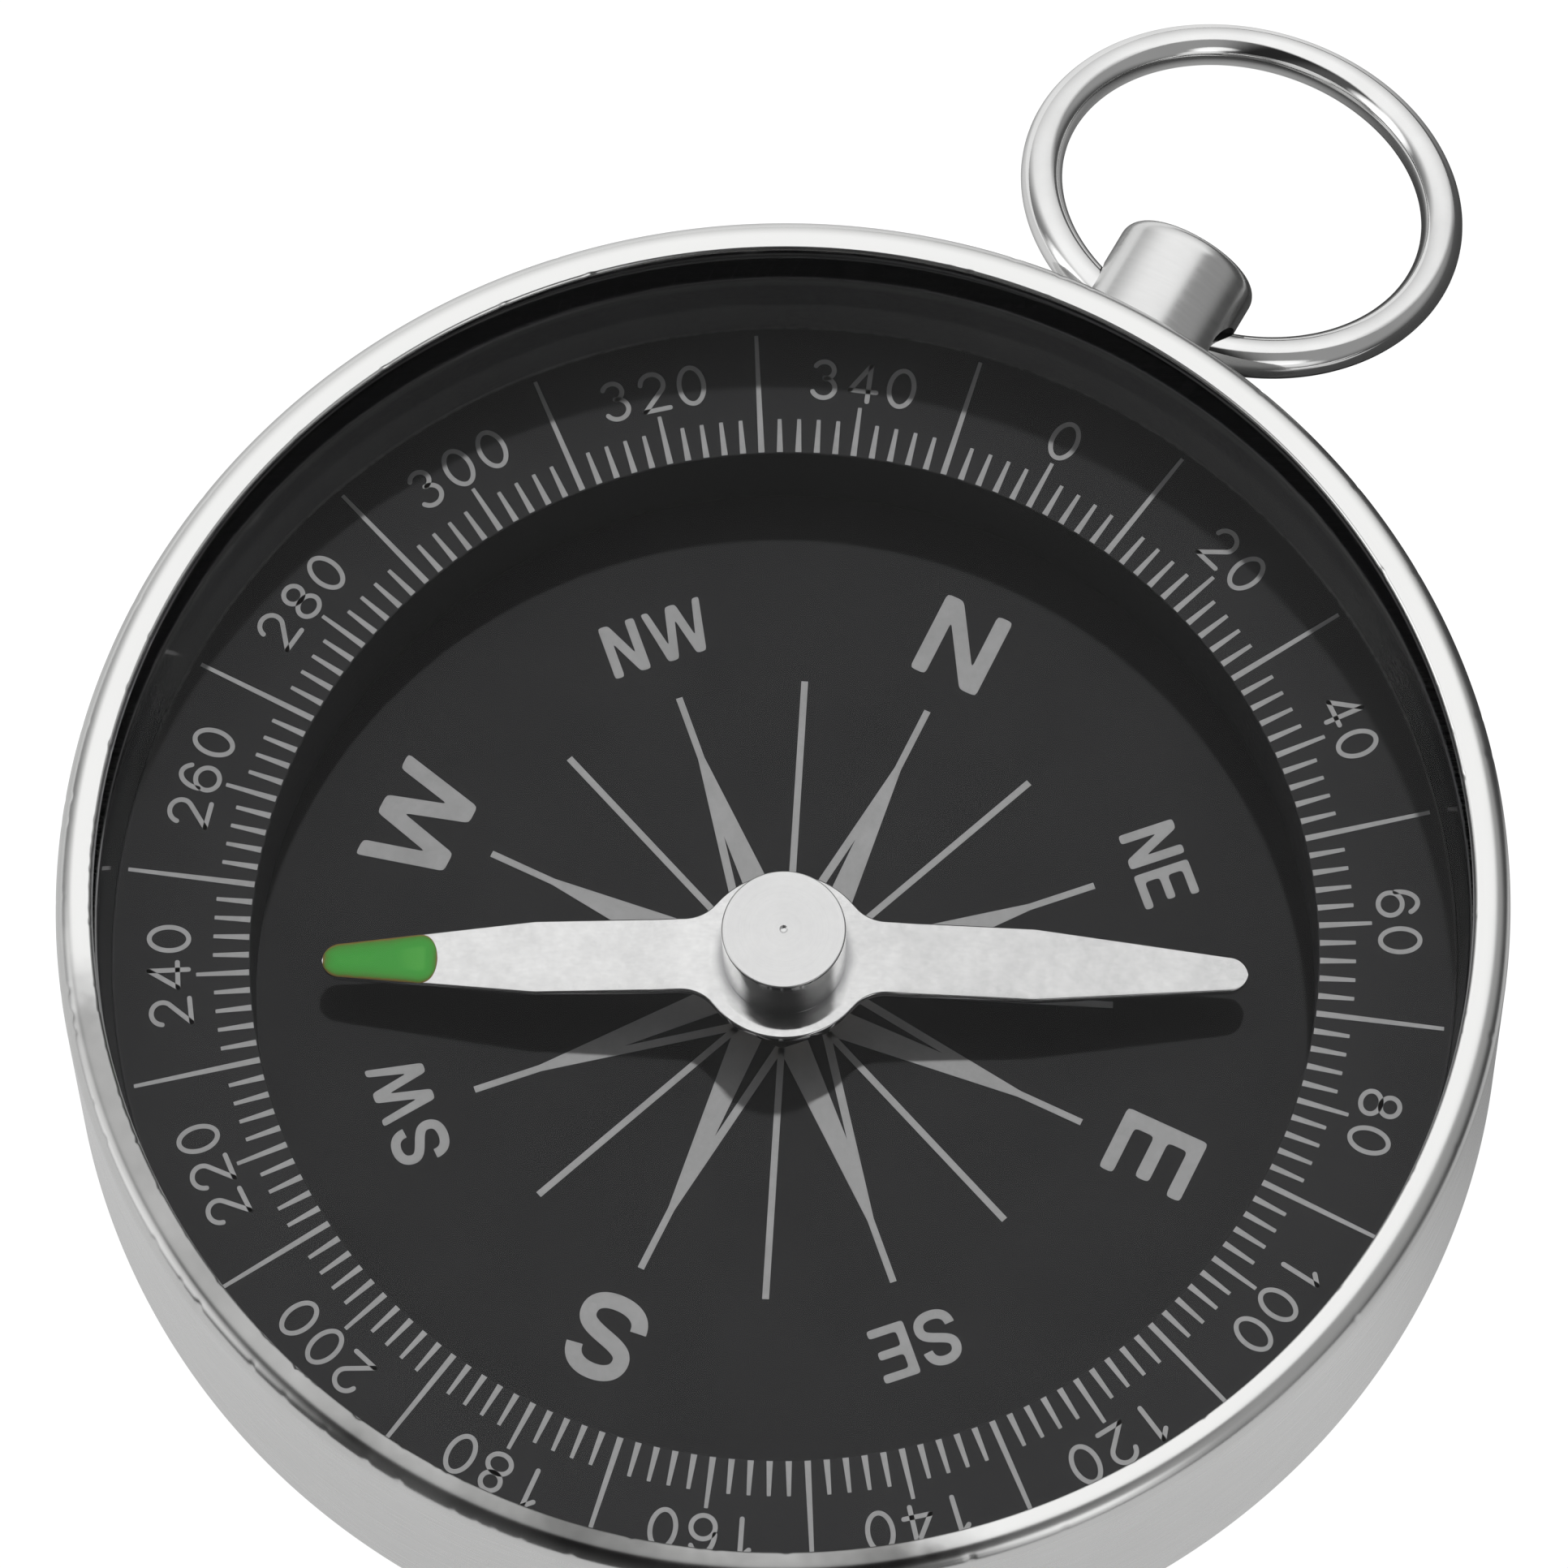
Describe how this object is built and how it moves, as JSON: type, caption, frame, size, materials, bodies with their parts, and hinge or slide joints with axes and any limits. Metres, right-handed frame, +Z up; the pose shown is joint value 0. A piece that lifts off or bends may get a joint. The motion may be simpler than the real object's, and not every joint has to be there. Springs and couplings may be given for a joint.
{
  "type": "pocket compass",
  "caption": "Round pocket compass: metal case with rolled rim, clear lens over a black degree ring and rose card, needle turning on a point, and a wire lanyard ring swinging in a stem.",
  "frame": {"origin": "centre of the case's flat underside, on the needle's pivot axis", "axes": "+Z up out of the lens along the pivot axis, +Y out through the stem, +X to the right of it seen from above"},
  "size_m": [0.044, 0.0579, 0.0096],
  "materials": {
    "plated_case": "polished rim over a satin side",
    "dark_card": "matt, printed in grey",
    "black_plastic": "semi-gloss, printed in grey",
    "clear_lens": "clear and flat",
    "brass": "turned",
    "hard_steel": "ground point",
    "satin_steel": "satin, one tip painted green",
    "polished_steel": "satin top, polished side",
    "satin_plate": "satin",
    "bright_wire": "bright"
  },
  "bodies": {
    "case": {"case": "plated_case", "dial_card": "dark_card", "degree_ring": "black_plastic", "lens": "clear_lens", "pivot_bush": "brass", "pivot_pin": "hard_steel", "stem": "satin_plate"},
    "needle": {"needle_blade": "satin_steel", "hub_cap": "polished_steel", "bearing_cup": "brass"},
    "ring": {"lanyard_ring": "bright_wire"}
  },
  "joints": [
    {"name": "needle_turn", "type": "hinge", "parent": "case", "child": "needle", "pos_m": [0, 0, 0.00485], "axis": [0, 0, 1], "continuous": true},
    {"name": "ring_swing", "type": "hinge", "parent": "case", "child": "ring", "pos_m": [0, 0.02335, 0.0049], "axis": [1, 0, 0], "range_deg": [-80.4, 119.6]}
  ]
}
